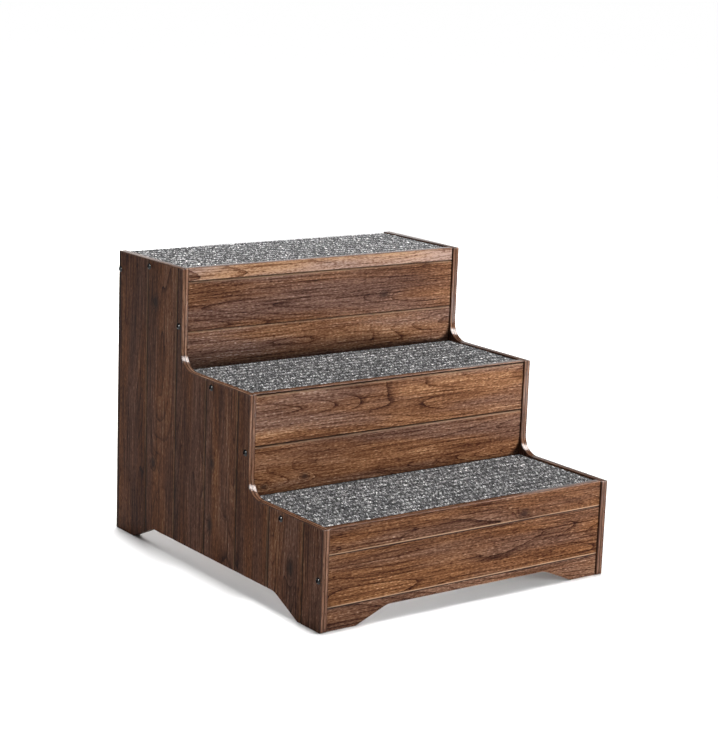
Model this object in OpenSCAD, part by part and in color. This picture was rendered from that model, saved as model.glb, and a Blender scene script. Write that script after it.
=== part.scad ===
// Three-step pet stairs: grooved laminated boards bolted between two stepped side panels,
// with a ribbed carpet laid on each tread.
// Origin: on the floor, under the middle of the stairs. +X right, +Y towards the back, +Z up.

/* [Overall] */
// Width over the two side panels
stairs_w = 550; // [400:10:700]
// Depth from the front edge to the back edge
stairs_d = 600; // [540:10:720]
// Height of the first step
tier_1_h = 155; // [145:1:165]
// Height of the second step
tier_2_h = 311; // [300:1:325]
// Height of the top platform
tier_3_h = 470; // [455:1:490]

/* [Boards] */
// Thickness of every board
board_t = 12; // [12:0.5:15]
// Thickness of the edge banding
band_t = 1; // [0.5:0.1:1.5]
// How far the risers stand back from the front edges of the side panels
riser_setback = 2; // [1:0.5:4]
// How far a riser reaches down behind the tread in front of it
riser_lap = 25; // [20:1:40]
// Height of the rail under the back edge of the top carpet
rail_h = 50; // [40:1:80]
// Radius of the inner corners of the side panels
corner_r = 30; // [15:1:40]

/* [Treads] */
// From the edge of a side panel down to the top of a tread board
tread_drop = 5; // [4.5:0.5:8]
// Thickness of the carpet
carpet_t = 3.5; // [2:0.5:4]
// Gap between the carpet and the boards around it
carpet_gap = 0.6; // [0.4:0.1:2]

/* [Foot cut-outs] */
// Length of each foot of a side panel
side_foot = 58; // [40:1:80]
// Run of the sloping ends of the side cut-outs
side_slope = 63; // [40:1:80]
// Height of the side cut-outs
side_arch_h = 28.5; // [15:0.5:32]
// Length of each foot of the front board
front_foot = 53; // [40:1:70]
// Run of the sloping ends of the front cut-out
front_slope = 57; // [40:1:70]
// Height of the front cut-out
front_arch_h = 23.5; // [12:0.5:28]
// Radius of the upper corners of the cut-outs
arch_r = 30; // [5:1:40]

/* [Grooves] */
// Spacing of the upright grooves on the side panels
side_groove_pitch = 91; // [90:1:100]
// From the back edge to the first upright groove
side_groove_start = 94; // [80:1:100]
// Spacing of the level grooves on the risers
riser_groove_pitch = 79.5; // [70:0.5:85]
// Width of a groove at the surface
groove_w = 3; // [1.5:0.1:4]
// Depth of a groove
groove_depth = 1.6; // [0.8:0.1:2]

/* [Fasteners] */
// Diameter of the bolt shank
bolt_d = 6; // [5:0.5:6]
// Length of the bolt under its head
bolt_l = 46; // [42:1:48]
// Diameter of the bolt head
head_d = 10.5; // [9:0.1:12]
// Height of the bolt head
head_h = 3.3; // [2.5:0.1:4]
// Width across the flats of the hexagon socket
socket_af = 4; // [3:0.5:5]
// Diameter of the barrel nut
nut_d = 9.8; // [9:0.1:10]
// Length of the barrel nut
nut_l = 9.8; // [9:0.1:9.8]
// From the end of a board to its barrel nut
nut_inset = 28; // [24:1:30]
// Diameter of the wooden dowels
dowel_d = 6; // [5:0.5:6]
// Length of the wooden dowels
dowel_l = 30; // [25:1:35]

/* [Hidden] */
$fn = 64;
over = 5;                        // how far a cutting shape runs past the surface it cuts

tier_h = [tier_1_h, tier_2_h, tier_3_h];
inner_w = stairs_w - 2 * board_t;
step_run = stairs_d / 3;
back_y = stairs_d / 2;
tier_y = [for (i = [0:2]) i * step_run - back_y];        // front edge of each step
riser_y = [for (y = tier_y) y + riser_setback];          // front face of each riser

riser_top = [for (h = tier_h) h - band_t];
riser_bottom = [0, tier_1_h - riser_lap, tier_2_h - riser_lap];
tread_top = [for (h = tier_h) h - tread_drop];
tread_front = [for (y = riser_y) y + board_t];
tread_back = [riser_y[1], riser_y[2], back_y - board_t];
carpet_back = [riser_y[1], riser_y[2], back_y];
rail_bottom = tread_top[2] - rail_h;

groove_drop = [40.5, 3.5, 22];   // from the top of each riser down to its highest groove
riser_groove_top = tier_h - groove_drop;

// The seven boards that span the width, each held by one bolt and two dowels at each end
BOARDS = ["riser_1", "riser_2", "riser_3", "tread_1", "tread_2", "tread_3", "back_rail"];
first_tread = 3;
rail = 6;
function is_tread(b) = b >= first_tread && b < rail;

// Where each board's bolt axis crosses a side panel, as [y, z]
function riser_site(i) = [riser_y[i] + board_t / 2, (tier_h[i] + riser_bottom[i]) / 2];
function tread_site(i) = [(tread_front[i] + tread_back[i]) / 2, tread_top[i] - board_t / 2];
rail_site = [back_y - board_t / 2, rail_bottom + rail_h / 2];
sites = concat([for (i = [0:2]) riser_site(i)], [for (i = [0:2]) tread_site(i)], [rail_site]);

// From the bolt to each dowel, measured across the board
dowel_margin = 9;                // from the rail's dowels to its edges
dowel_reach = [50, 62, 62, 65, 65, 65, rail_h / 2 - dowel_margin];
function dowel_site(b, side) =
    sites[b] + side * dowel_reach[b] * (is_tread(b) ? [1, 0] : [0, 1]);

// Play between a fastener and its hole, measured on the diameter
bolt_play = 0.5;
nut_play = 0.2;
dowel_play = 0.1;
thread_play = 0.04;              // between a bolt and its nut

nut_skin = 2;                    // wood left behind a nut
nut_gap = 0.1;                   // between a nut and the bottom of its hole
nut_hole_depth = board_t - nut_skin;
nut_base = board_t / 2 - nut_hole_depth + nut_gap;   // inner end of a nut, from the bolt's axis
slot_w = 1.2;                    // driver slot in the outer end of a nut
slot_depth = 1;

panel_skin = 3;                  // wood left behind a dowel in a side panel
panel_socket = board_t - panel_skin;
dowel_gap = 0.5;                 // between a dowel and the bottom of its hole in a side panel
dowel_room = 1.5;                // spare depth of a dowel's hole in a board
board_socket = dowel_l - panel_socket + dowel_room;
bolt_room = 3;                   // spare depth of a bolt's hole in a board
board_bolt_hole = bolt_l - board_t + bolt_room;

end_chamfer = 1;                 // at the tips of the bolts and both ends of the dowels
socket_share = 0.65;             // depth of a bolt's socket over the height of its head
arc_steps = 6;                   // flats along a rounded corner of a foot cut-out

BOARD_COLOR = "sienna";
PANEL_COLOR = "saddlebrown";
BAND_COLOR = "peru";

// ---------- helpers ----------

// Extrudes an outline drawn in the Y-Z plane along +X
module along_x(length) {
    rotate([90, 0, 90]) linear_extrude(length) children();
}

// Extrudes an outline drawn in the X-Z plane from y to y + length
module along_y(y, length) {
    translate([0, y + length, 0]) rotate([90, 0, 0]) linear_extrude(length) children();
}

// A cylinder lying along X, from x to x + length, at a [y, z] site
module rod_x(d, x, length, site) {
    translate([x, site[0], site[1]]) rotate([0, 90, 0]) cylinder(d = d, h = length);
}

// A part and its mirror image in the middle plane of the stairs
module both_sides() {
    children();
    mirror([1, 0, 0]) children();
}

// Cut-out between two feet: level top, sloping ends and rounded upper corners
module foot_arch(length, slope, height) {
    lean = atan(height / slope);
    tangent = arch_r * tan(lean / 2);
    middle = length / 2 - slope - tangent;
    arc = [for (k = [0:arc_steps]) 90 + lean * (1 - k / arc_steps)];
    left = [for (a = arc) [-middle + arch_r * cos(a), height - arch_r + arch_r * sin(a)]];
    right = [for (k = [arc_steps:-1:0]) [-left[k][0], left[k][1]]];
    polygon(concat([[-length / 2, -over], [-length / 2, 0]], left, right,
                   [[length / 2, 0], [length / 2, -over]]));
}

// Stepped outline of a side panel in the Y-Z plane, drawn in by inset on its banded edges
module stair_outline(inset) {
    difference() {
        union() {
            for (i = [0:2])
                translate([tier_y[i] + inset, 0])
                    square([back_y - tier_y[i] - 2 * inset, tier_h[i] - inset]);
            for (i = [1:2])
                translate([tier_y[i] - corner_r, tier_h[i - 1] + corner_r])
                    inner_corner(corner_r + inset);
        }
        foot_arch(stairs_d - 2 * side_foot, side_slope, side_arch_h);
    }
}

// The material left in the corner between a step and the riser behind it
module inner_corner(r) {
    difference() {
        translate([0, -r - over]) square(r + over);
        circle(r);
    }
}

// V-shaped groove cut into a face, drawn with its mouth on the line y = 0
module groove_outline() {
    polygon([[-groove_w / 2, over], [-groove_w / 2, 0], [0, -groove_depth],
             [groove_w / 2, 0], [groove_w / 2, over]]);
}

// ---------- side panels ----------

module left_side_panel_shape() {
    x = -stairs_w / 2;
    grooves = [back_y - side_groove_start:-side_groove_pitch:groove_w - back_y];
    difference() {
        translate([x, 0, 0]) along_x(board_t) stair_outline(band_t);
        for (y = grooves)
            translate([x, y, -over])
                rotate([0, 0, 90]) linear_extrude(tier_3_h + 2 * over) groove_outline();
        for (b = [0:rail]) {
            rod_x(bolt_d + bolt_play, x - over, board_t + 2 * over, sites[b]);
            for (side = [-1, 1])
                rod_x(dowel_d + dowel_play, x + board_t - panel_socket, panel_socket + over,
                      dowel_site(b, side));
        }
    }
}

module left_side_panel() {
    color(PANEL_COLOR) left_side_panel_shape();
}

module right_side_panel() {
    color(PANEL_COLOR) mirror([1, 0, 0]) left_side_panel_shape();
}

// Banding glued round the steps and down the back edge, ending just clear of the floor
module left_edge_band_shape() {
    translate([-stairs_w / 2, 0, 0]) along_x(board_t) difference() {
        stair_outline(0);
        stair_outline(band_t);
        translate([-stairs_d, -over]) square([2 * stairs_d, over + band_t]);
    }
}

module left_edge_band() {
    color(BAND_COLOR) left_edge_band_shape();
}

module right_edge_band() {
    color(BAND_COLOR) mirror([1, 0, 0]) left_edge_band_shape();
}

// ---------- boards across the stairs ----------

// Bolt and dowel holes in both ends of board b
module end_holes(b) {
    x = -inner_w / 2 - over;
    both_sides() {
        rod_x(bolt_d + bolt_play, x, board_bolt_hole + over, sites[b]);
        for (side = [-1, 1])
            rod_x(dowel_d + dowel_play, x, board_socket + over, dowel_site(b, side));
    }
}

// Places a barrel nut's axis: along X it is nut_inset in from the end of board b,
// and it points out of the hidden face, which is the back, the underside or the rail's front
module at_nut(b) {
    turn = is_tread(b) ? [180, 0, 0] : b == rail ? [90, 0, 0] : [-90, 0, 0];
    translate([-inner_w / 2 + nut_inset, sites[b][0], sites[b][1]]) rotate(turn) children();
}

// Holes for the barrel nuts, open on the hidden face only
module nut_holes(b) {
    both_sides() at_nut(b)
        translate([0, 0, board_t / 2 - nut_hole_depth])
            cylinder(d = nut_d + nut_play, h = nut_hole_depth + over);
}

// Riser i: an upright board with level grooves in its face
module riser(i) {
    grooves = [riser_groove_top[i]:-riser_groove_pitch:riser_bottom[i] + groove_w];
    color(BOARD_COLOR) difference() {
        translate([-inner_w / 2, riser_y[i], riser_bottom[i]])
            cube([inner_w, board_t, riser_top[i] - riser_bottom[i]]);
        for (z = grooves)
            translate([-inner_w / 2 - over, riser_y[i], z])
                rotate([90, 0, 90]) linear_extrude(inner_w + 2 * over)
                    rotate(90) groove_outline();
        end_holes(i);
        nut_holes(i);
        if (i == 0)
            along_y(riser_y[0] - over, board_t + 2 * over)
                foot_arch(inner_w - 2 * front_foot, front_slope, front_arch_h);
    }
}

// Tread i: a level board between its own riser and the next one, or the back rail
module tread(i) {
    color(BOARD_COLOR) difference() {
        translate([-inner_w / 2, tread_front[i], tread_top[i] - board_t])
            cube([inner_w, tread_back[i] - tread_front[i], board_t]);
        end_holes(first_tread + i);
        nut_holes(first_tread + i);
    }
}

// The rail across the open back, level with the top tread and under the same carpet
module back_rail() {
    color(BOARD_COLOR) difference() {
        translate([-inner_w / 2, back_y - board_t, rail_bottom])
            cube([inner_w, board_t, rail_h]);
        end_holes(rail);
        nut_holes(rail);
    }
}

// Banding on the top edge of riser i
module riser_band(i) {
    color(BAND_COLOR) translate([-inner_w / 2, riser_y[i], riser_top[i]])
        cube([inner_w, board_t, band_t]);
}

// Carpet i lies on tread i, and the top one on the back rail too
module carpet(i) {
    depth = carpet_back[i] - tread_front[i] - 2 * carpet_gap;
    color("slategray")
        translate([-inner_w / 2 + carpet_gap, tread_front[i] + carpet_gap, tread_top[i]])
            cube([inner_w - 2 * carpet_gap, depth, carpet_t]);
}

// ---------- fasteners ----------

// Button-head bolt with a hexagon socket, head outwards, shank along +X from the face x = 0
module bolt() {
    crown = (head_h * head_h + head_d * head_d / 4) / (2 * head_h);
    rotate([0, 90, 0]) difference() {
        union() {
            intersection() {
                translate([0, 0, crown - head_h]) sphere(crown);
                translate([0, 0, -head_h]) cylinder(d = head_d, h = head_h);
            }
            cylinder(d = bolt_d, h = bolt_l - end_chamfer);
            translate([0, 0, bolt_l - end_chamfer])
                cylinder(d1 = bolt_d, d2 = bolt_d - 2 * end_chamfer, h = end_chamfer);
        }
        translate([0, 0, -head_h - over])
            cylinder(d = socket_af / cos(30), h = over + socket_share * head_h, $fn = 6);
    }
}

// The bolts through both side panels into board b
module bolts(b) {
    color("black") both_sides()
        translate([-stairs_w / 2, sites[b][0], sites[b][1]]) bolt();
}

// The barrel nuts in both ends of board b, cross-drilled for the bolt and slotted for a driver
module barrel_nuts(b) {
    color("silver") both_sides() at_nut(b) difference() {
        translate([0, 0, nut_base]) cylinder(d = nut_d, h = nut_l);
        rotate([0, 90, 0]) cylinder(d = bolt_d + thread_play, h = 2 * nut_d, center = true);
        translate([-nut_d, -slot_w / 2, nut_base + nut_l - slot_depth])
            cube([2 * nut_d, slot_w, 2 * slot_depth]);
    }
}

// A dowel with chamfered ends, along +X from x = 0
module dowel() {
    tip_d = dowel_d - 2 * end_chamfer;
    rotate([0, 90, 0]) {
        cylinder(d1 = tip_d, d2 = dowel_d, h = end_chamfer);
        translate([0, 0, end_chamfer]) cylinder(d = dowel_d, h = dowel_l - 2 * end_chamfer);
        translate([0, 0, dowel_l - end_chamfer])
            cylinder(d1 = dowel_d, d2 = tip_d, h = end_chamfer);
    }
}

// The two dowels at each end of board b
module dowels(b) {
    x = -inner_w / 2 - panel_socket + dowel_gap;
    color("burlywood") both_sides()
        for (side = [-1, 1])
            translate([x, dowel_site(b, side)[0], dowel_site(b, side)[1]]) dowel();
}

// ---------- assembly ----------

left_side_panel();
right_side_panel();
left_edge_band();
right_edge_band();
for (i = [0:2]) {
    riser(i);
    tread(i);
    carpet(i);
    riser_band(i);
}
back_rail();
for (b = [0:rail]) {
    bolts(b);
    barrel_nuts(b);
    dowels(b);
}
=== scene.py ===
import math

import bmesh
import bpy
import numpy as np
from mathutils import Matrix, Vector


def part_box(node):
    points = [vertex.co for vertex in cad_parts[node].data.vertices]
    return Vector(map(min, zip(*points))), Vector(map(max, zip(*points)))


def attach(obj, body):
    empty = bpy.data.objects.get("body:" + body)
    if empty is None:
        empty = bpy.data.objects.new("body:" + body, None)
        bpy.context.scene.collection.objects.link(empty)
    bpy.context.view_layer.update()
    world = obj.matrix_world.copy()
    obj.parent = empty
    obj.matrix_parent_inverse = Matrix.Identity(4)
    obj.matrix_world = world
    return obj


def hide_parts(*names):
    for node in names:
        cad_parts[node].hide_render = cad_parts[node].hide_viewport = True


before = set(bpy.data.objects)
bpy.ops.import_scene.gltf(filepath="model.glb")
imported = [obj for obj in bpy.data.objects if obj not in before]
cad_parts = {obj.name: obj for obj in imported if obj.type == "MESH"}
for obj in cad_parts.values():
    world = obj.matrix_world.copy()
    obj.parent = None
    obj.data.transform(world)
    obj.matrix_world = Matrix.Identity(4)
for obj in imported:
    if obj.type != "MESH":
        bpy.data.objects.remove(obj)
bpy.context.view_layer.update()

X, Y, Z = 0, 1, 2
MM = 0.001
RISERS = ("riser_1", "riser_2", "riser_3")
BOLTED_BOARDS = (*RISERS, "tread_1", "tread_2", "tread_3", "back_rail")


# ---------- sizes read from the frame ----------

band_low, band_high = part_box("left_edge_band")
HALF_W = -band_low.x
BOARD_T = band_high.x - band_low.x
FRONT_Y, BACK_Y = band_low.y, band_high.y
BAND_T = band_high.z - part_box("left_side_panel")[1].z
TIER_Z = [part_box(f"{board}_edge_band")[1].z for board in RISERS]
TIER_Y = [FRONT_Y + i * (BACK_Y - FRONT_Y) / 3 for i in range(3)]
CORNER_R = 30 * MM

# one groove's place across the board, and the spacing of the others
SIDE_GROOVES = (BACK_Y - 94 * MM, 91 * MM)
RISER_GROOVES = [(tier - drop * MM, 79.5 * MM) for tier, drop in zip(TIER_Z, (40.5, 3.5, 22.0))]
GROOVE_HALF_W = 1.5 * MM


# ---------- shader helper ----------

class Shader:
    """A material whose nodes are made by calls that return sockets."""

    def __init__(self, name):
        self.material = bpy.data.materials.new(name)
        self.material.use_nodes = True
        self.nodes = self.material.node_tree.nodes
        self.links = self.material.node_tree.links
        self.nodes.clear()
        self.bsdf = self.nodes.new("ShaderNodeBsdfPrincipled")
        output = self.nodes.new("ShaderNodeOutputMaterial")
        self.links.new(self.bsdf.outputs[0], output.inputs["Surface"])

    def put(self, socket, value):
        if isinstance(value, bpy.types.NodeSocket):
            self.links.new(value, socket)
        elif value is not None:
            socket.default_value = value

    def add(self, kind, inputs, **settings):
        node = self.nodes.new(kind)
        for key, value in settings.items():
            setattr(node, key, value)
        for key, value in inputs.items():
            self.put(node.inputs[key], value)
        return node

    def math(self, operation, a, b=None, c=None):
        node = self.add("ShaderNodeMath", {}, operation=operation)
        for socket, value in zip(node.inputs, (a, b, c)):
            self.put(socket, value)
        return node.outputs[0]

    def total(self, *values):
        result = values[0]
        for value in values[1:]:
            result = self.math("ADD", result, value)
        return result

    def times(self, a, b):
        return self.math("MULTIPLY", a, b)

    def less(self, a, b):
        return self.math("SUBTRACT", a, b)

    def centred(self, value, size):
        """A 0 to 1 value moved to the middle of zero and scaled to size across."""
        return self.times(self.less(value, 0.5), size)

    def step(self, value, low, high):
        """0 below low, 1 above high, smooth between."""
        node = self.add("ShaderNodeMapRange", {"Value": value, "From Min": low, "From Max": high})
        node.interpolation_type = "SMOOTHSTEP"
        return node.outputs[0]

    def vector(self, x=0.0, y=0.0, z=0.0):
        node = self.add("ShaderNodeCombineXYZ", {"X": x, "Y": y, "Z": z})
        return node.outputs[0]

    def split(self, vector):
        return self.add("ShaderNodeSeparateXYZ", {"Vector": vector}).outputs

    def place(self):
        """The three coordinates on the object, in metres."""
        return self.split(self.add("ShaderNodeTexCoord", {}).outputs["Object"])

    def scaled(self, *scales):
        """The place on the object, with each coordinate times its own scale."""
        return self.vector(*(self.times(c, scale) for c, scale in zip(self.place(), scales)))

    def normal(self):
        return self.split(self.add("ShaderNodeTexCoord", {}).outputs["Normal"])

    def noise(self, vector, detail=2.0, roughness=0.5):
        inputs = {"Vector": vector, "Scale": 1.0, "Detail": detail, "Roughness": roughness}
        return self.add("ShaderNodeTexNoise", inputs).outputs["Fac"]

    def random(self, value):
        """Three random numbers that depend on one value."""
        node = self.add("ShaderNodeTexWhiteNoise", {"W": value}, noise_dimensions="1D")
        return self.split(node.outputs["Color"])

    def ramp(self, value, stops):
        node = self.add("ShaderNodeValToRGB", {"Fac": value})
        elements = node.color_ramp.elements
        while len(elements) < len(stops):
            elements.new(0.5)
        for element, (position, colour) in zip(elements, stops):
            element.position = position
            element.color = (*colour, 1.0)
        return node.outputs["Color"]

    def mix(self, factor, a, b, blend="MIX"):
        node = self.add("ShaderNodeMix", {}, data_type="RGBA", blend_type=blend)
        for socket, value in zip((node.inputs[0], node.inputs[6], node.inputs[7]), (factor, a, b)):
            self.put(socket, (*value, 1.0) if isinstance(value, tuple) else value)
        return node.outputs[2]

    def bump(self, height, distance, strength):
        inputs = {"Height": height, "Distance": distance, "Strength": strength}
        return self.add("ShaderNodeBump", inputs).outputs[0]

    def finish(self, **sockets):
        for name, value in sockets.items():
            value = (*value, 1.0) if isinstance(value, tuple) and len(value) == 3 else value
            self.put(self.bsdf.inputs[name.replace("_", " ")], value)
        return self.material


# ---------- wood ----------

WALNUT = [(0.00, (0.012, 0.0045, 0.003)),
          (0.25, (0.038, 0.0145, 0.007)),
          (0.50, (0.090, 0.0415, 0.021)),
          (0.75, (0.170, 0.0890, 0.047)),
          (1.00, (0.340, 0.2250, 0.140))]
CORE = (0.040, 0.022, 0.013)
CRUMB = (0.080, 0.048, 0.030)
KNOT_HEART = (0.014, 0.008, 0.007)
# painted shade for the grooves' shaded flanks and the risers' joints with the panels, and a painted
# highlight for the grooves' lit lips
GROOVE_AND_JOINT_SHADE = (0.010, 0.005, 0.003)
GROOVE_HIGHLIGHT = (0.330, 0.210, 0.130)
ORANGE, PURPLE = (1.12, 0.97, 0.80), (0.95, 0.97, 1.18)
JOINT_SHADE_W = (0.9 * MM, 1.9 * MM)       # painted joint shade: full dark, and where it ends


def knot_field(s, u, v, knots):
    """1 at the heart of a knot, falling away round it."""
    field = 0.0
    for at, beside, radius in knots:
        du = s.math("POWER", s.math("DIVIDE", s.less(u, at), radius * 1.6), 2.0)
        dv = s.math("POWER", s.math("DIVIDE", s.less(v, beside), radius), 2.0)
        field = s.math("ADD", field, s.math("EXPONENT", s.times(s.total(du, dv), -1.0)))
    return field


def with_knots(s, colour, knot, streak, wavy):
    """The colour with each knot's dark heart and the ring round it."""
    bent = s.total(knot, s.centred(streak, 0.6), s.centred(wavy, 0.5))
    ring = s.step(s.math("ABSOLUTE", s.less(bent, 0.45)), 0.20, 0.02)
    heart = s.step(bent, 0.30, 1.0)
    return s.mix(s.math("MAXIMUM", s.times(heart, 0.80), s.times(ring, 0.35)), colour, KNOT_HEART)


def with_grooves(s, colour, v, grooves, lip, outer, patch):
    """The colour with painted shade along each groove's shaded flank and a painted highlight on its lit
    lip, on the face where outer is 1.
    """
    line, pitch = grooves
    side, lip_highlight, dark = lip
    phase = s.math("FRACT", s.math("ADD", s.math("DIVIDE", s.less(v, line), pitch), 0.5))
    gap = s.times(s.less(phase, 0.5), pitch * side)
    from_lip = s.math("ABSOLUTE", s.less(gap, GROOVE_HALF_W * 0.9))
    from_shade = s.math("ABSOLUTE", s.math("ADD", gap, dark))
    lit_lip = s.step(from_lip, GROOVE_HALF_W, GROOVE_HALF_W * 0.4)
    shaded_flank = s.step(from_shade, dark * 1.3, dark * 0.8)
    lit_lip = s.times(s.times(lit_lip, outer), s.times(s.step(patch, 0.25, 0.55), lip_highlight))
    # a painted highlight on each groove's lit lip, then painted shade along its shaded flank
    colour = s.mix(lit_lip, colour, GROOVE_HIGHLIGHT)
    return s.mix(s.times(s.times(shaded_flank, outer), 0.92), colour, GROOVE_AND_JOINT_SHADE)


def laminate(name, grain, across, face, seed, grooves=(0.0, 1.0), lip=None, knots=(), lifts=(),
             tint=(1.0, 1.0, 1.0), ends=None, outward=-1, figure=(0.85, 0.70, 0.26)):
    """Board with an embossed walnut print. grain, across and face are the axes along the grain,
    across the planks and through the board. grooves is one groove's place and their spacing. lip
    is the side of each groove that gets a pale painted highlight, how pale it is, and half the width
    of the painted shade beside it on the groove's shaded flank. knots are (along, across, radius),
    lifts are (plank, lightening) with planks counted from that groove, ends is the half width at
    which the board meets its neighbours, where a dark line is painted as the joint's shade, and
    outward is the way the grooved face looks along the face axis. figure is how strongly streaks,
    short flecks and long dark lines show."""
    s = Shader(name)
    streaks, flecks, threads = figure
    place = s.place()
    u, v = place[grain], place[across]
    line, pitch = grooves
    plank = s.math("FLOOR", s.math("DIVIDE", s.less(v, line), pitch))
    chance = s.random(s.total(plank, seed * 7.3))
    along = s.total(u, s.times(chance[0], 9.0))
    cut = s.total(s.times(plank, 3.7), seed)

    def drawn(along_scale, across_scale, depth, *detail):
        """Noise drawn out along the grain, with its scales per metre."""
        return s.noise(s.vector(s.times(along, along_scale), s.times(v, across_scale), depth), *detail)

    # growth rings are the contours of a smooth field, so they close into eyes and arches
    knot = knot_field(s, u, v, knots)
    slow = drawn(1.7, 13.0, cut, 1.0, 0.4)
    wavy = drawn(7.0, 50.0, cut, 2.0)
    ragged = drawn(60.0, 420.0, seed + 3.0, 2.0)
    rings = s.total(s.times(slow, 24.0), s.times(v, 48.0), s.times(wavy, 0.45), s.times(ragged, 0.12),
                    s.times(knot, 2.6))
    late = s.math("POWER", s.math("FRACT", rings), 8.0)
    year = s.random(s.total(s.math("FLOOR", rings), seed))
    bold = s.step(drawn(5.0, 21.0, cut, 1.0), 0.30, 0.62)

    # streaks, patches, long dark lines, pores and glints
    streak = drawn(11.0, 380.0, seed, 4.0, 0.66)
    patch = drawn(4.6, 17.0, cut, 3.0, 0.55)
    hue = drawn(3.0, 26.0, s.total(cut, 5.0), 2.0)
    thread = s.step(drawn(5.5, 330.0, seed + 4.0, 1.0), 0.57, 0.68)
    bright = s.step(drawn(6.5, 360.0, seed + 7.0, 1.0), 0.58, 0.70)
    grit = drawn(180.0, 540.0, seed + 6.0, 1.0)
    pore = s.step(drawn(80.0, 520.0, seed + 1.0, 1.0), 0.57, 0.67)
    glint = s.step(drawn(130.0, 520.0, seed + 2.0, 1.0), 0.56, 0.68)

    tone = s.total(0.535, s.centred(streak, streaks), s.centred(patch, 0.55), s.centred(year[1], 0.14),
                   s.centred(chance[1], 0.06), s.centred(grit, flecks),
                   s.times(s.times(late, bold), -0.50), s.times(thread, -threads), s.times(bright, 0.14),
                   s.times(pore, -0.22), s.times(glint, 0.18))
    for number, lift in lifts:
        tone = s.math("ADD", tone, s.times(s.math("COMPARE", plank, number, 0.5), lift))
    colour = s.ramp(tone, WALNUT)
    colour = s.mix(1.0, colour, s.mix(s.step(hue, 0.36, 0.64), PURPLE, ORANGE), "MULTIPLY")
    colour = s.mix(1.0, colour, tint, "MULTIPLY")
    if knots:
        colour = with_knots(s, colour, knot, streak, wavy)
    facing = s.normal()[face]
    if lip:
        outer = s.math("GREATER_THAN", s.times(facing, outward), 0.4)
        colour = with_grooves(s, colour, v, grooves, lip, outer, patch)
    # a dark line painted at each end, as shade in the joint with the side panels
    if ends:
        joint_shade = s.step(s.math("ABSOLUTE", u), ends - JOINT_SHADE_W[1], ends - JOINT_SHADE_W[0])
        colour = s.mix(s.times(joint_shade, 0.75), colour, GROOVE_AND_JOINT_SHADE)

    # cut edges show the painted core
    printed = s.math("GREATER_THAN", s.math("ABSOLUTE", facing), 0.4)
    crumbs = s.noise(s.scaled(900.0, 900.0, 900.0), 3.0)
    colour = s.mix(printed, s.mix(crumbs, CORE, CRUMB), colour)

    height = s.total(s.times(pore, -1.0), s.times(streak, 0.8), s.times(late, -0.3), s.times(glint, 0.3))
    rough = s.total(0.50, s.times(pore, 0.16), s.centred(streak, 0.14), s.centred(patch, 0.10))
    return s.finish(Base_Color=colour, Roughness=rough, Specular_IOR_Level=0.03,
                    Normal=s.bump(height, 0.10 * MM, 0.7))


def birch():
    """Raw turned birch."""
    s = Shader("birch")
    grain = s.noise(s.scaled(40.0, 900.0, 900.0), 4.0, 0.6)
    colour = s.ramp(grain, [(0.25, (0.42, 0.27, 0.13)), (0.75, (0.70, 0.53, 0.32))])
    return s.finish(Base_Color=colour, Roughness=0.7, Normal=s.bump(grain, 0.1 * MM, 0.5))


BANDING = [(0.00, (0.024, 0.010, 0.006)),
           (0.35, (0.072, 0.032, 0.019)),
           (0.60, (0.160, 0.076, 0.043)),
           (1.00, (0.390, 0.240, 0.160))]
BAND_LINE = (0.026, 0.010, 0.005)
LINE_HALF_W = (0.5 * MM, 1.3 * MM)      # full dark, and where it ends
LINE_DRIFT = 1.2 * MM
PANEL_LINES = (0.06, 0.52, 0.98)        # as shares of the board's thickness, from outside
RISER_LINE_INSET = 1.6 * MM
PANEL_BAND_LIGHT = (0.05, -0.08)             # left, right: painted light and shade, the left panel's bands lighter and the right's darker
RISER_LIFT = -0.03


def edge_banding(name, across, middles, lift=0.0):
    """Glossy printed plastic strip with long streaks and dark lines, darker lower down. across is
    the axis over its width, middles are the distances of the dark lines from zero on that axis, and
    lift lightens it."""
    s = Shader(name)
    place = s.place()
    w = place[across]
    run = s.less(s.total(*place), w)
    drift = s.noise(s.vector(s.times(run, 9.0), 0.0, 2.0), 2.0)
    broad = s.noise(s.vector(s.times(w, 260.0), s.times(run, 4.0), 0.0), 1.0)
    fine = s.noise(s.vector(s.times(w, 700.0), s.times(run, 22.0), 4.0), 3.0, 0.6)
    dash = s.step(s.noise(s.vector(s.times(w, 600.0), s.times(run, 120.0), 9.0), 2.0), 0.56, 0.66)
    low = s.step(place[Z], TIER_Z[1], 0.0)
    tone = s.total(0.56 + lift, s.centred(broad, 0.60), s.centred(fine, 1.25), s.times(dash, -0.20),
                   s.times(low, -0.12))
    colour = s.ramp(tone, BANDING)
    for middle in middles:
        line = s.math("ADD", middle, s.centred(drift, LINE_DRIFT))
        off = s.math("ABSOLUTE", s.less(s.math("ABSOLUTE", w), line))
        dark = s.times(s.step(off, LINE_HALF_W[1], LINE_HALF_W[0]), s.step(fine, 0.18, 0.38))
        colour = s.mix(s.times(dark, 0.88), colour, BAND_LINE)
    return s.finish(Base_Color=colour, Roughness=0.20, Specular_IOR_Level=0.16,
                    Normal=s.bump(fine, 0.05 * MM, 0.35))


# ---------- metal ----------

def black_steel():
    """Steel blackened all over, with a few paler rubs."""
    s = Shader("black_steel")
    grit = s.noise(s.scaled(1800.0, 1800.0, 1800.0), 3.0)
    cloud = s.noise(s.scaled(500.0, 500.0, 500.0), 4.0)
    rub = s.step(cloud, 0.60, 0.75)
    colour = s.mix(rub, (0.007, 0.007, 0.008), (0.060, 0.058, 0.056))
    rough = s.total(0.14, s.centred(grit, 0.12))
    return s.finish(Base_Color=colour, Roughness=rough, Specular_IOR_Level=0.3,
                    Normal=s.bump(grit, 0.03 * MM, 0.4))


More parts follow.
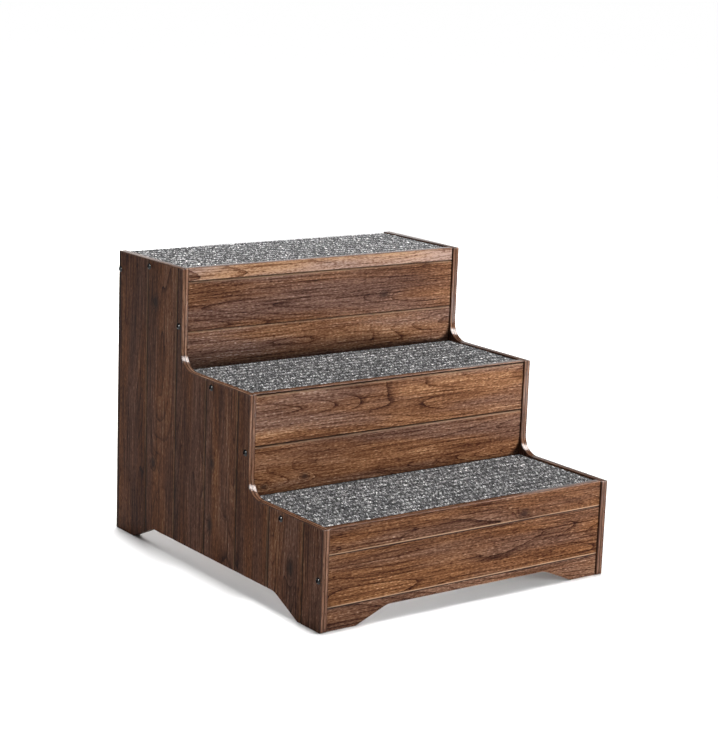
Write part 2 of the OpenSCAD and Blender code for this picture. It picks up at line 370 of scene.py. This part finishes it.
def zinc_steel():
    """Turned, zinc-plated steel."""
    s = Shader("zinc_steel")
    mottle = s.noise(s.scaled(350.0, 350.0, 350.0), 3.0)
    lines = s.noise(s.scaled(120.0, 3000.0, 3000.0), 2.0)
    colour = s.ramp(mottle, [(0.3, (0.42, 0.42, 0.43)), (0.7, (0.66, 0.66, 0.64))])
    return s.finish(Base_Color=colour, Metallic=1.0, Roughness=s.total(0.34, s.centred(lines, 0.25)),
                    Normal=s.bump(lines, 0.02 * MM, 0.5))


# ---------- carpet ----------

PLY = (1.3 * MM, 2.4 * MM)
PLY_SWAY = (5.0 * MM, 7.0 * MM)

# each list maps a noise's value to what it multiplies the yarn's shade by
PLY_TONES = [(0.10, 0.08), (0.40, 0.60), (0.70, 1.25), (0.90, 2.20)]
FIBRE_TONES = [(0.30, 0.60), (0.70, 1.35)]
CLOUD_TONES = [(0.30, 0.90), (0.70, 1.10)]


def carpet_yarn():
    """Mottled yarn. Each loop's own shade, with painted shade down its sides and in the gaps and each
    carpet's painted lightness, is stored on the mesh; its plies and fibres vary more.
    """
    s = Shader("carpet_yarn")
    shade = s.add("ShaderNodeAttribute", {}, attribute_name="yarn").outputs["Color"]
    sway = s.noise(s.scaled(420.0, 260.0, 1.0), 2.0)
    ragged = [s.total(c, s.centred(sway, reach)) for c, reach in zip(s.place(), PLY_SWAY)]
    cell = s.vector(*(s.math("FLOOR", s.math("DIVIDE", c, size)) for c, size in zip(ragged, PLY)))
    ply = s.split(s.add("ShaderNodeTexWhiteNoise", {"Vector": cell}).outputs["Color"])[0]
    fibre = s.noise(s.scaled(1300.0, 800.0, 800.0), 2.0, 0.7)
    cloud = s.noise(s.scaled(9.0, 24.0, 1.0), 3.0)
    for value, stops in ((ply, PLY_TONES), (fibre, FIBRE_TONES), (cloud, CLOUD_TONES)):
        colour = s.ramp(value, [(at, (grey, grey, grey)) for at, grey in stops])
        shade = s.mix(1.0, shade, colour, "MULTIPLY")
    return s.finish(Base_Color=shade, Roughness=0.92, Specular_IOR_Level=0.12,
                    Sheen_Weight=0.15, Sheen_Roughness=0.5, Normal=s.bump(fibre, 0.25 * MM, 0.6))


# ---------- meshes ----------

def piece_from(name, vertices, faces, material):
    """A new smooth-shaded mesh object."""
    mesh = bpy.data.meshes.new(name)
    mesh.from_pydata(vertices, [], faces)
    mesh.validate()
    mesh.materials.append(material)
    mesh.polygons.foreach_set("use_smooth", [True] * len(mesh.polygons))
    piece = bpy.data.objects.new(name, mesh)
    bpy.context.scene.collection.objects.link(piece)
    return piece


def settle(piece, node):
    """The piece stands for that CAD node and rides on the one body."""
    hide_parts(node)
    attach(piece, "root")


def arc(centre, radius, start, end, steps):
    """Points on an arc in a plane, from start to end in degrees."""
    angles = np.radians(np.linspace(start, end, steps + 1))
    return [(centre[0] + radius * math.cos(a), centre[1] + radius * math.sin(a)) for a in angles]


def strip(name, path, x_low, x_high, thickness, material, rounding=0.35 * MM):
    """A band swept along a path of (y, z) points, lying on the right of its direction of travel
    and reaching x_low to x_high, with its two outer edges rounded."""
    path = np.array(path)
    steps = np.diff(path, axis=0)
    steps /= np.linalg.norm(steps, axis=1)[:, None]
    outward = np.stack([-steps[:, 1], steps[:, 0]], axis=1)
    before = np.vstack([outward[:1], outward])
    after = np.vstack([outward, outward[-1:]])
    mitre = before + after
    mitre /= (mitre * before).sum(1)[:, None]
    section = [(x_low, thickness)]
    section += [(x_low + rounding * (1 - math.sin(a)), rounding * (1 - math.cos(a)))
                for a in np.radians([90, 60, 30, 0])]
    section += [(x_high - rounding * (1 - math.sin(a)), rounding * (1 - math.cos(a)))
                for a in np.radians([0, 30, 60, 90])]
    section += [(x_high, thickness)]
    vertices = [(x, *(point - inward * normal))
                for point, normal in zip(path, mitre) for x, inward in section]
    n, rings = len(section), len(path)
    faces = [(r * n + k, r * n + (k + 1) % n, (r + 1) * n + (k + 1) % n, (r + 1) * n + k)
             for r in range(rings - 1) for k in range(n)]
    faces += [tuple(range(n))[::-1], tuple(range((rings - 1) * n, rings * n))]
    piece = piece_from(name, vertices, faces, material)
    shade_sharp_edges(piece, 40)
    return piece


def shade_sharp_edges(piece, degrees):
    """Smooth shading that still breaks at edges sharper than the angle."""
    mesh = bmesh.new()
    mesh.from_mesh(piece.data)
    bmesh.ops.recalc_face_normals(mesh, faces=mesh.faces)
    for edge in mesh.edges:
        edge.smooth = len(edge.link_faces) == 2 and edge.calc_face_angle(0.0) < math.radians(degrees)
    mesh.to_mesh(piece.data)
    mesh.free()


def stepped_path(floor_gap):
    """The edge of a side panel from the front foot, over the steps and down the back."""
    nose = 1.2 * MM
    path = [(TIER_Y[0], floor_gap)]
    for i in range(3):
        y, z = TIER_Y[i], TIER_Z[i]
        path += arc((y + nose, z - nose), nose, 180, 90, 4)
        if i < 2:
            path += arc((TIER_Y[i + 1] - CORNER_R, z + CORNER_R), CORNER_R, -90, 0, 28)
    path += arc((BACK_Y - nose, TIER_Z[2] - nose), nose, 90, 0, 4)
    path += [(BACK_Y, floor_gap)]
    return path


def box_with_round_top(name, low, high, material, rounding=0.4 * MM):
    """A straight band whose two long upper edges are rounded."""
    profile = [(low.y, low.z)]
    profile += arc((low.y + rounding, high.z - rounding), rounding, 180, 90, 4)
    profile += arc((high.y - rounding, high.z - rounding), rounding, 90, 0, 4)
    profile += [(high.y, low.z)]
    n = len(profile)
    vertices = [(x, y, z) for x in (low.x, high.x) for y, z in profile]
    faces = [(k, (k + 1) % n, n + (k + 1) % n, n + k) for k in range(n)]
    faces += [tuple(range(n))[::-1], tuple(range(n, 2 * n))]
    piece = piece_from(name, vertices, faces, material)
    shade_sharp_edges(piece, 40)
    return piece


def edge_bands():
    """The strips round the side panels' edges and along the risers' tops."""
    path = stepped_path(band_low.z)
    lines = [HALF_W - BOARD_T * share for share in PANEL_LINES]
    for side, x_low, lift in zip(("left", "right"), (-HALF_W, HALF_W - BOARD_T), PANEL_BAND_LIGHT):
        material = edge_banding(f"{side}_panel_banding", X, lines, lift)
        band = strip(f"{side}_banding", path, x_low, x_low + BOARD_T, BAND_T, material)
        settle(band, f"{side}_edge_band")
    for board in RISERS:
        node = f"{board}_edge_band"
        low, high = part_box(node)
        line = abs(high.y - RISER_LINE_INSET)
        material = edge_banding(f"{board}_banding", Y, [line], RISER_LIFT)
        settle(box_with_round_top(f"{board}_strip", low, high, material), node)


# ---------- carpets ----------

RIB_PITCH = 5.6 * MM
LOOP_PITCH = 1.65 * MM
STEPS_PER_RIB = 4
STEPS_PER_LOOP = 2
BACKING_T = 1.5 * MM
PILE_H = 2.0 * MM           # the most that the pile stands over the backing
LOOP_H = 1.45 * MM
LOOP_HEIGHTS = (0.70, 1.10)
LOOP_DRIFT = 0.13           # how far a loop's middle strays, as a share of its pitch
RIB_H = 0.55 * MM
GAP_HALF_W = 0.36           # of a gap between ribs, as a share of their pitch
SHALLOW = 0.4               # a gap within a three of ribs, as a share of the deep ones
FUZZ = 0.07 * MM
TRIM_W = 2.5 * MM           # the pile is pressed down this far from the carpet's edges
TRIM_SHARE = 0.35
YARN = np.array([(0.020, 0.020, 0.022), (0.092, 0.092, 0.096), (0.222, 0.221, 0.225),
                 (0.420, 0.417, 0.416), (0.700, 0.694, 0.688)])
YARN_SHARE = [0.20, 0.23, 0.25, 0.19, 0.13]
LONG_SHARE = 0.25           # of the loops take the shade of their neighbour
ROW_TONES = np.array([0.60, 1.26, 1.14])    # the ribs lie in threes, with a deep gap between
ROW_CONTRAST = (0.9, 1.1, 1.4)              # how strongly the threes show, on each carpet
CARPET_PAINTED_LIGHT = (0.77, 0.81, 0.96)            # each carpet's lightness: painted light, the lower carpets darker as if less lit


def slab(gx, gy, top, bottom):
    """Vertices and faces of a closed slab, with a grid on top and a level underside."""
    ny, nx = gx.shape
    upper_side = np.stack([gx, gy, top], axis=-1).reshape(-1, 3)
    rim = ([(0, i) for i in range(nx - 1)] + [(j, nx - 1) for j in range(ny - 1)]
           + [(ny - 1, i) for i in range(nx - 1, 0, -1)] + [(j, 0) for j in range(ny - 1, 0, -1)])
    upper = [j * nx + i for j, i in rim]
    lower = [len(upper_side) + k for k in range(len(rim))]
    underside = np.array([(upper_side[v][0], upper_side[v][1], bottom) for v in upper])
    j, i = np.meshgrid(np.arange(ny - 1), np.arange(nx - 1), indexing="ij")
    first = (j * nx + i).ravel()
    faces = np.stack([first, first + 1, first + nx + 1, first + nx], axis=1).tolist()
    n = len(rim)
    faces += [(upper[k], lower[k], lower[(k + 1) % n], upper[(k + 1) % n]) for k in range(n)]
    faces.append(tuple(lower[::-1]))
    return np.vstack([upper_side, underside]).tolist(), faces


def carpet(number, material):
    """A closed slab whose top is ribs of yarn loops that run from side to side."""
    node = f"carpet_{number}"
    low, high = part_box(node)
    rng = np.random.default_rng(number)
    nx = int((high.x - low.x) / LOOP_PITCH * STEPS_PER_LOOP) + 1
    ny = int((high.y - low.y) / RIB_PITCH * STEPS_PER_RIB) + 1
    gx, gy = np.meshgrid(np.linspace(low.x, high.x, nx), np.linspace(low.y, high.y, ny))

    # each grid point's loop, and where the point lies in it, from -1 to 1 both ways
    rows = int((high.y - low.y) / RIB_PITCH) + 2
    columns = int((high.x - low.x) / LOOP_PITCH) + 3
    rib = (gy - low.y) / RIB_PITCH
    row = rib.astype(int)
    place = (gx - low.x) / LOOP_PITCH + rng.random(rows)[row]
    column = place.astype(int)
    drift = rng.uniform(-LOOP_DRIFT, LOOP_DRIFT, (2, rows, columns))[:, row, column]
    a = (place - column - 0.5 - drift[0]) * 2
    b = (rib - row - 0.5 - drift[1]) * 2

    # crown is 1 on top of a loop, and valley is 1 in a deep gap between ribs
    tall = rng.uniform(*LOOP_HEIGHTS, (rows, columns))[row, column]
    crown = np.clip(1.0 - 0.45 * a * a, 0.0, 1.0) * np.clip(1.0 - b ** 4, 0.0, 1.0)
    nearest = np.rint(rib)
    deep = nearest % len(ROW_TONES) == 0
    beside = np.abs(rib - nearest) / GAP_HALF_W
    valley = np.where(deep, 1.0, SHALLOW) * np.clip(1.2 - beside, 0.0, 1.0)
    pile = LOOP_H * crown * tall + RIB_H - RIB_H * valley + rng.normal(0.0, FUZZ, gx.shape)
    border = np.minimum.reduce([gx - low.x, high.x - gx, gy - low.y, high.y - gy])
    pile = np.clip(pile, 0.0, PILE_H) * np.clip(TRIM_SHARE + border / TRIM_W, TRIM_SHARE, 1.0)
    vertices, faces = slab(gx, gy, low.z + BACKING_T + pile, low.z)
    piece = piece_from(f"carpet_pile_{number}", vertices, faces, material)

    kind = rng.choice(len(YARN), (rows, columns), p=YARN_SHARE)
    kind[:, 1:] = np.where(rng.random((rows, columns - 1)) < LONG_SHARE, kind[:, :-1], kind[:, 1:])

    # painted shade: loops are darker down their sides and in the gaps
    row_tone = 1.0 + (ROW_TONES[row % len(ROW_TONES)] - 1.0) * ROW_CONTRAST[number - 1]
    tone = (0.35 + 0.75 * crown) * (1.0 - 0.95 * valley) * row_tone * CARPET_PAINTED_LIGHT[number - 1]
    shade = YARN[kind[row, column]] * tone[..., None]
    shade = np.vstack([shade.reshape(-1, 3), np.tile(YARN[1], (len(vertices) - gx.size, 1))])
    colours = piece.data.color_attributes.new("yarn", "FLOAT_COLOR", "POINT")
    colours.data.foreach_set("color", np.column_stack([shade, np.ones(len(shade))]).ravel())
    settle(piece, node)


# ---------- bolts ----------

SEGMENTS = 36
HEAD_R, HEAD_H = 5.25 * MM, 3.3 * MM
SHANK_R, SHANK_L = 2.95 * MM, 46 * MM
THREAD_PITCH, THREAD_DEPTH, THREAD_L = 1.0 * MM, 0.35 * MM, 26 * MM
SOCKET_AF, SOCKET_DEPTH = 4.0 * MM, 2.1 * MM
SOCKET_CHAMFER = 0.15 * MM
DOME_START = 2.75 * MM
RIM_H, RIM_ROUND = 0.25 * MM, 0.15 * MM
SEAT_CHAMFER, TIP_CHAMFER = 0.1 * MM, 0.9 * MM
CROWN_R = (HEAD_H ** 2 + HEAD_R ** 2) / (2 * HEAD_H)


def dome(radius):
    """How far along the bolt the top of the head is, at that radius."""
    return CROWN_R - HEAD_H - np.sqrt(CROWN_R ** 2 - radius ** 2)


def bolt_rings():
    """Rings of (radius for each angle, distance along the bolt), from the socket's floor over the
    domed head and down the threaded shank. The head's seat is at distance 0."""
    angles = np.linspace(0, 2 * np.pi, SEGMENTS, endpoint=False)
    folded = (angles + np.pi / 6) % (np.pi / 3) - np.pi / 6
    hexagon = SOCKET_AF / 2 / np.cos(folded)
    circle = np.ones(SEGMENTS)
    rings = [(hexagon * 0.97, dome(hexagon) + SOCKET_DEPTH),
             (hexagon, dome(hexagon) + SOCKET_CHAMFER),
             (hexagon + SOCKET_CHAMFER, dome(hexagon + SOCKET_CHAMFER))]
    for r in np.linspace(DOME_START, HEAD_R - RIM_ROUND, 8):
        rings.append((circle * r, dome(circle * r)))
    rings += [(circle * r, circle * along) for r, along in (
        (HEAD_R, -RIM_H), (HEAD_R, -SEAT_CHAMFER), (HEAD_R - SEAT_CHAMFER, 0.0),
        (SHANK_R, 0.0), (SHANK_R, SHANK_L - THREAD_L))]
    turn = angles / (2 * np.pi)
    for along in np.arange(SHANK_L - THREAD_L, SHANK_L - THREAD_PITCH, THREAD_PITCH / 4):
        wave = np.abs(((along / THREAD_PITCH + turn) % 1.0) - 0.5) * 2
        rings.append((SHANK_R - THREAD_DEPTH * wave, circle * along))
    rings.append((circle * (SHANK_R - TIP_CHAMFER), circle * SHANK_L))
    return angles, rings


def bolt_pair(board, material):
    """The two bolts of one board, heads outside the side panels."""
    node = f"{board}_bolts"
    low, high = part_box(node)
    y, z = (low.y + high.y) / 2, (low.z + high.z) / 2
    angles, rings = bolt_rings()
    vertices, faces = [], []
    for side in (-1, 1):
        base = len(vertices)
        for radius, along in rings:
            vertices += [(side * (HALF_W - d), y + r * math.cos(a), z + r * math.sin(a))
                         for r, d, a in zip(radius, along, angles)]
        for k in range(len(rings) - 1):
            for i in range(SEGMENTS):
                j = (i + 1) % SEGMENTS
                faces.append((base + k * SEGMENTS + i, base + k * SEGMENTS + j,
                              base + (k + 1) * SEGMENTS + j, base + (k + 1) * SEGMENTS + i))
        last = base + (len(rings) - 1) * SEGMENTS
        faces += [tuple(range(base, base + SEGMENTS)), tuple(range(last, last + SEGMENTS))]
    piece = piece_from(f"{board}_screws", vertices, faces, material)
    shade_sharp_edges(piece, 35)
    settle(piece, node)


# ---------- camera, floor and light ----------

CAMERA_PLACE = (-1.821, -2.471, 0.976)
CAMERA_AZIMUTH, CAMERA_ELEVATION, CAMERA_ROLL = -36.36, 12.22, 2.12
CAMERA_LENS = 96.4
FLOOR_REACH = 60.0
AIR_LIGHT = 0.10            # what the air gives the stairs; the camera sees it white


def camera():
    data = bpy.data.cameras.new("camera")
    data.lens = CAMERA_LENS
    data.clip_start, data.clip_end = 0.05, 200.0
    cam = bpy.data.objects.new("camera", data)
    bpy.context.scene.collection.objects.link(cam)
    azimuth, elevation, roll = (math.radians(a) for a in (CAMERA_AZIMUTH, CAMERA_ELEVATION, CAMERA_ROLL))
    back = Vector((math.sin(azimuth) * math.cos(elevation),
                   -math.cos(azimuth) * math.cos(elevation), math.sin(elevation)))
    right = Vector((0, 0, 1)).cross(back).normalized()
    up = back.cross(right)
    turned = (right * math.cos(roll) + up * math.sin(roll),
              up * math.cos(roll) - right * math.sin(roll), back)
    cam.matrix_world = Matrix.Translation(CAMERA_PLACE) @ Matrix(turned).transposed().to_4x4()
    bpy.context.scene.camera = cam


def studio_floor():
    mesh = bpy.data.meshes.new("studio_floor")
    corners = [(x * FLOOR_REACH, y * FLOOR_REACH, 0) for x, y in ((-1, -1), (1, -1), (1, 1), (-1, 1))]
    mesh.from_pydata(corners, [], [(0, 1, 2, 3)])
    s = Shader("studio_floor")
    mesh.materials.append(s.finish(Base_Color=(0.93, 0.93, 0.93), Roughness=0.9, Specular_IOR_Level=0.1))
    floor = bpy.data.objects.new("studio_floor", mesh)
    bpy.context.scene.collection.objects.link(floor)


def hang(name, data, source, place=(0, 0, 0)):
    """A lamp at place whose light comes from the direction source."""
    lamp = bpy.data.objects.new(name, data)
    lamp.location = place
    lamp.rotation_mode = "QUATERNION"
    lamp.rotation_quaternion = Vector(source).to_track_quat("Z", "Y")
    lamp.visible_camera = False
    bpy.context.scene.collection.objects.link(lamp)
    return lamp


def sun(name, source, strength, angle):
    """A distant lamp that doesn't show in reflections, angle degrees wide."""
    data = bpy.data.lights.new(name, "SUN")
    data.energy, data.angle = strength, math.radians(angle)
    hang(name, data, source).visible_glossy = False


def softbox(name, place, width, height, power):
    """A flat lamp that faces the stairs."""
    data = bpy.data.lights.new(name, "AREA")
    data.shape, data.size, data.size_y, data.energy = "RECTANGLE", width, height, power
    return hang(name, data, Vector(place) - Vector((0, 0, 0.25)), place)


def studio_light():
    """White air round a white floor, with the object's shade only under it."""
    world = bpy.data.worlds.new("studio")
    bpy.context.scene.world = world
    world.use_nodes = True
    nodes, links = world.node_tree.nodes, world.node_tree.links
    nodes.clear()
    air, paper = nodes.new("ShaderNodeBackground"), nodes.new("ShaderNodeBackground")
    pick, out = nodes.new("ShaderNodeMixShader"), nodes.new("ShaderNodeOutputWorld")
    air.inputs["Strength"].default_value = AIR_LIGHT
    seen = nodes.new("ShaderNodeLightPath")
    links.new(seen.outputs["Is Camera Ray"], pick.inputs[0])
    links.new(air.outputs[0], pick.inputs[1])
    links.new(paper.outputs[0], pick.inputs[2])
    links.new(pick.outputs[0], out.inputs["Surface"])
    for background in (air, paper):
        background.inputs["Color"].default_value = (1, 1, 1, 1)

    # the key lights the risers and the fill the shade under the stairs. The rest only show as
    # glints: on the banding's inner corners, on the bands' tops and on the bolt heads
    softbox("front_key", (1.8, -1.8, 0.17), 0.8, 0.3, 107).visible_glossy = False
    softbox("glint_box", (1.35, -1.32, 1.74), 2.4, 1.0, 330).visible_diffuse = False
    softbox("back_card", (2.0, 2.9, 0.8), 2.6, 1.6, 10).visible_diffuse = False
    softbox("back_fill", (0.6, 2.8, 0.95), 2.6, 1.8, 150).visible_glossy = False
    softbox("bolt_card", (-2.15, -0.66, 1.54), 0.8, 0.8, 130).visible_diffuse = False
    sun("top_light", (0.045, 0.04, 1.00), 3.2, 8)
    bpy.context.scene.view_settings.view_transform = "Standard"


# ---------- the stairs ----------

# laminate() says what these hold
SIDE_LIP = (1, 0.28, 2.0 * MM)
SIDE_KNOTS = [(0.076, -0.220, 0.010), (0.181, 0.002, 0.009), (0.404, 0.180, 0.009),
              (0.139, 0.180, 0.008), (0.082, 0.005, 0.009)]
SIDE_LIFTS = [(0, -0.06), (-1, 0.04), (-3, 0.06), (-4, 0.06), (-5, 0.15), (-6, 0.10)]
# the side panels' tint darkens them as painted shade, and turns their hue
SIDE_SHADE_AND_TINT = (0.78, 0.69, 0.66)
SIDE_FIGURE = (1.10, 0.40, 0.36)
RISER_LIPS = [(1, 0.9, 0.5 * MM), (-1, 0.5, 1.3 * MM), (-1, 0.5, 0.8 * MM)]
RISER_KNOTS = [[(0.105, 0.125, 0.008)],
               [(-0.17, 0.172, 0.006), (-0.245, 0.165, 0.006)],
               [(0.12, 0.40, 0.007)]]
# the risers' lifts are partly their planks' own print tone and partly painted light, lightening risers 2
# and 3 and riser 3's top plank most
RISER_TONES_AND_LIGHT = [[(-1, -0.03), (-2, -0.03)],
               [(-1, 0.08), (-2, 0.05)],
               [(0, 0.36), (-1, 0.02), (-2, 0.12)]]
RISER_TINTS = [(1.0, 1.02, 1.0), (1.0, 1.03, 1.09), (1.0, 1.05, 1.18)]


def finish_cad_nodes():
    """Materials for the boards and hardware that keep their CAD shape."""
    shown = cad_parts
    side = {"grooves": SIDE_GROOVES, "lip": SIDE_LIP, "lifts": SIDE_LIFTS, "tint": SIDE_SHADE_AND_TINT,
            "figure": SIDE_FIGURE}
    finishes = {
        "left_side_panel": laminate("walnut_left", Z, Y, X, 1, knots=SIDE_KNOTS, **side),
        "right_side_panel": laminate("walnut_right", Z, Y, X, 2, knots=SIDE_KNOTS[1:4], outward=1,
                                     **side),
        "back_rail": laminate("walnut_rail", X, Z, Y, 9),
    }
    for i in range(3):
        finishes[f"riser_{i + 1}"] = laminate(
            f"walnut_riser_{i + 1}", X, Z, Y, 3 + i, grooves=RISER_GROOVES[i], lip=RISER_LIPS[i],
            knots=RISER_KNOTS[i], lifts=RISER_TONES_AND_LIGHT[i], tint=RISER_TINTS[i], ends=HALF_W - BOARD_T)
        finishes[f"tread_{i + 1}"] = laminate(f"walnut_tread_{i + 1}", X, Y, Z, 6 + i)
    zinc, dowel = zinc_steel(), birch()
    for name in shown:
        if name.endswith("_barrel_nuts"):
            finishes[name] = zinc
        if name.endswith("_dowels"):
            finishes[name] = dowel
    for name, material in finishes.items():
        data = shown[name].data
        data.materials.clear()
        data.materials.append(material)


camera()
studio_floor()
studio_light()
finish_cad_nodes()
edge_bands()
yarn = carpet_yarn()
for number in (1, 2, 3):
    carpet(number, yarn)
black = black_steel()
for board in BOLTED_BOARDS:
    bolt_pair(board, black)
